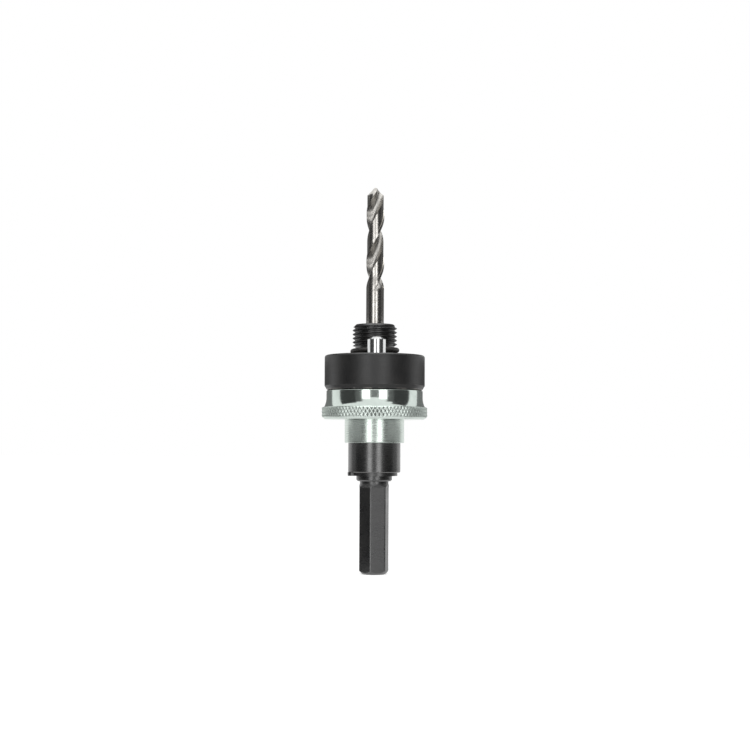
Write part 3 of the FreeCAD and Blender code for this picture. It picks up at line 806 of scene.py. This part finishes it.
def plain(name, level):
    """An even grey light."""
    material = bpy.data.materials.new(name)
    material.use_nodes = True
    nodes = material.node_tree.nodes
    nodes.clear()
    light = nodes.new("ShaderNodeEmission")
    light.inputs["Color"].default_value = (level, level, level, 1)
    out = nodes.new("ShaderNodeOutputMaterial")
    material.node_tree.links.new(light.outputs[0], out.inputs["Surface"])
    return material


def curved(name, azimuths, heights, level, place):
    """A curved grey card, seen only in reflections; azimuths are degrees from the camera's side."""
    columns = max(2, int(abs(azimuths[1] - azimuths[0]) / CARD_STEP))
    rows = max(2, int(abs(heights[1] - heights[0]) / CARD_STEP))
    points = []
    faces = []
    for column in range(columns + 1):
        azimuth = CAMERA_AZIMUTH + azimuths[0] + (azimuths[1] - azimuths[0]) * column / columns
        for row in range(rows + 1):
            height = heights[0] + (heights[1] - heights[0]) * row / rows
            points.append(place(azimuth, height))
    for column in range(columns):
        for row in range(rows):
            first = column * (rows + 1) + row
            faces.append((first, first + 1, first + rows + 2, first + rows + 1))
    made = new_object(name, mesh_from(name, points, faces))
    made.data.materials.append(plain(name, level))
    made.visible_camera = False
    made.visible_diffuse = False
    made.visible_shadow = False
    made.visible_transmission = False


def far(azimuth, elevation):
    """A place on a large ball round the object, by its elevation in degrees."""
    return direction(azimuth, elevation) * FAR_REACH + STAGE_MIDDLE


def near(azimuth, height):
    """A place on a cylinder close to the object, by its height in millimetres."""
    return direction(azimuth, 0) * NEAR_REACH + Vector((0, 0, height * MM))


curved("card_front", (-11, 11), (-50, 7), 0.2, far)
for side, label, top in ((-1, "left", 34), (1, "right", 41)):
    curved("card_shade_" + label, (side * 30, side * 46), (-50, 29), 0.13, far)
    curved("card_dark_" + label, (side * 46, side * 90), (-50, top), 0.055, far)
    curved("card_shank_" + label, (side * 80, side * 110), (-2, 34), 0.08, near)
    curved("card_hub_" + label, (side * 80, side * 108), (34, 54.5), 0.38, near)
    curved("card_brush_" + label, (side * 44, side * 80), (46.5, 54.5), 0.35, near)
    curved("card_knurl_" + label, (side * 44, side * 88), (54.7, 59.5), 0.4, near)
    curved("card_ring_" + label, (side * 102, side * 180), (60.3, 78.5), 0.2, near)
    curved("card_drill_" + label, (side * 84, side * 180), (92, 145), 0.15, near)


def lamp(name, azimuth, elevation, distance, width, height, power):
    data = bpy.data.lights.new(name, "AREA")
    data.shape = "RECTANGLE"
    data.size = width
    data.size_y = height
    data.energy = power
    made = bpy.data.objects.new(name, data)
    scene.collection.objects.link(made)
    toward = direction(CAMERA_AZIMUTH + azimuth, elevation)
    made.location = STAGE_MIDDLE + toward * distance
    made.rotation_euler = toward.to_track_quat("Z", "Y").to_euler()


for side, label in ((-1, "left"), (1, "right")):
    lamp("softbox_" + label, side * 20, -6, distance=0.85, width=0.25, height=0.65, power=0.96)
lamp("softbox_top", 0, 84, distance=0.9, width=0.7, height=0.7, power=4.0)

WORLD_SEEN = 1.0
WORLD_LIGHT = 0.5
FLOOR_REACH = 4
FLOOR_TONE = 0.8
FLOOR_GLOW = 0.62


def make_world():
    """White where it is seen or mirrored, and dimmer as a light."""
    world = bpy.data.worlds.new("studio")
    scene.world = world
    world.use_nodes = True
    nodes = world.node_tree.nodes
    links = world.node_tree.links
    nodes.clear()
    path = nodes.new("ShaderNodeLightPath")
    seen = path.outputs["Is Camera Ray"]
    for ray in ("Is Glossy Ray", "Is Transmission Ray"):
        either = nodes.new("ShaderNodeMath")
        either.operation = "MAXIMUM"
        links.new(seen, either.inputs[0])
        links.new(path.outputs[ray], either.inputs[1])
        seen = either.outputs[0]
    level = nodes.new("ShaderNodeMapRange")
    level.inputs["To Min"].default_value = WORLD_LIGHT
    level.inputs["To Max"].default_value = WORLD_SEEN
    links.new(seen, level.inputs["Value"])
    background = nodes.new("ShaderNodeBackground")
    background.inputs["Color"].default_value = (1, 1, 1, 1)
    links.new(level.outputs[0], background.inputs["Strength"])
    out = nodes.new("ShaderNodeOutputWorld")
    links.new(background.outputs[0], out.inputs["Surface"])


def floor_finish():
    """Matt, with a glow for the camera alone that makes it white and leaves the shadow."""
    material = bpy.data.materials.new("floor")
    material.use_nodes = True
    nodes = material.node_tree.nodes
    links = material.node_tree.links
    nodes.clear()
    matt = nodes.new("ShaderNodeBsdfDiffuse")
    matt.inputs["Color"].default_value = (FLOOR_TONE, FLOOR_TONE, FLOOR_TONE, 1)
    glow = nodes.new("ShaderNodeEmission")
    path = nodes.new("ShaderNodeLightPath")
    level = nodes.new("ShaderNodeMath")
    level.operation = "MULTIPLY"
    level.inputs[1].default_value = FLOOR_GLOW
    links.new(path.outputs["Is Camera Ray"], level.inputs[0])
    links.new(level.outputs[0], glow.inputs["Strength"])
    both = nodes.new("ShaderNodeAddShader")
    links.new(matt.outputs[0], both.inputs[0])
    links.new(glow.outputs[0], both.inputs[1])
    out = nodes.new("ShaderNodeOutputMaterial")
    links.new(both.outputs[0], out.inputs["Surface"])
    return material


make_world()
reach = FLOOR_REACH
corners = [(-reach, -reach, 0), (reach, -reach, 0), (reach, reach, 0), (-reach, reach, 0)]
floor = new_object("floor", mesh_from("floor", corners, [(0, 1, 2, 3)]))
floor.data.materials.append(floor_finish())
floor.visible_glossy = False

scene.view_settings.view_transform = "Standard"
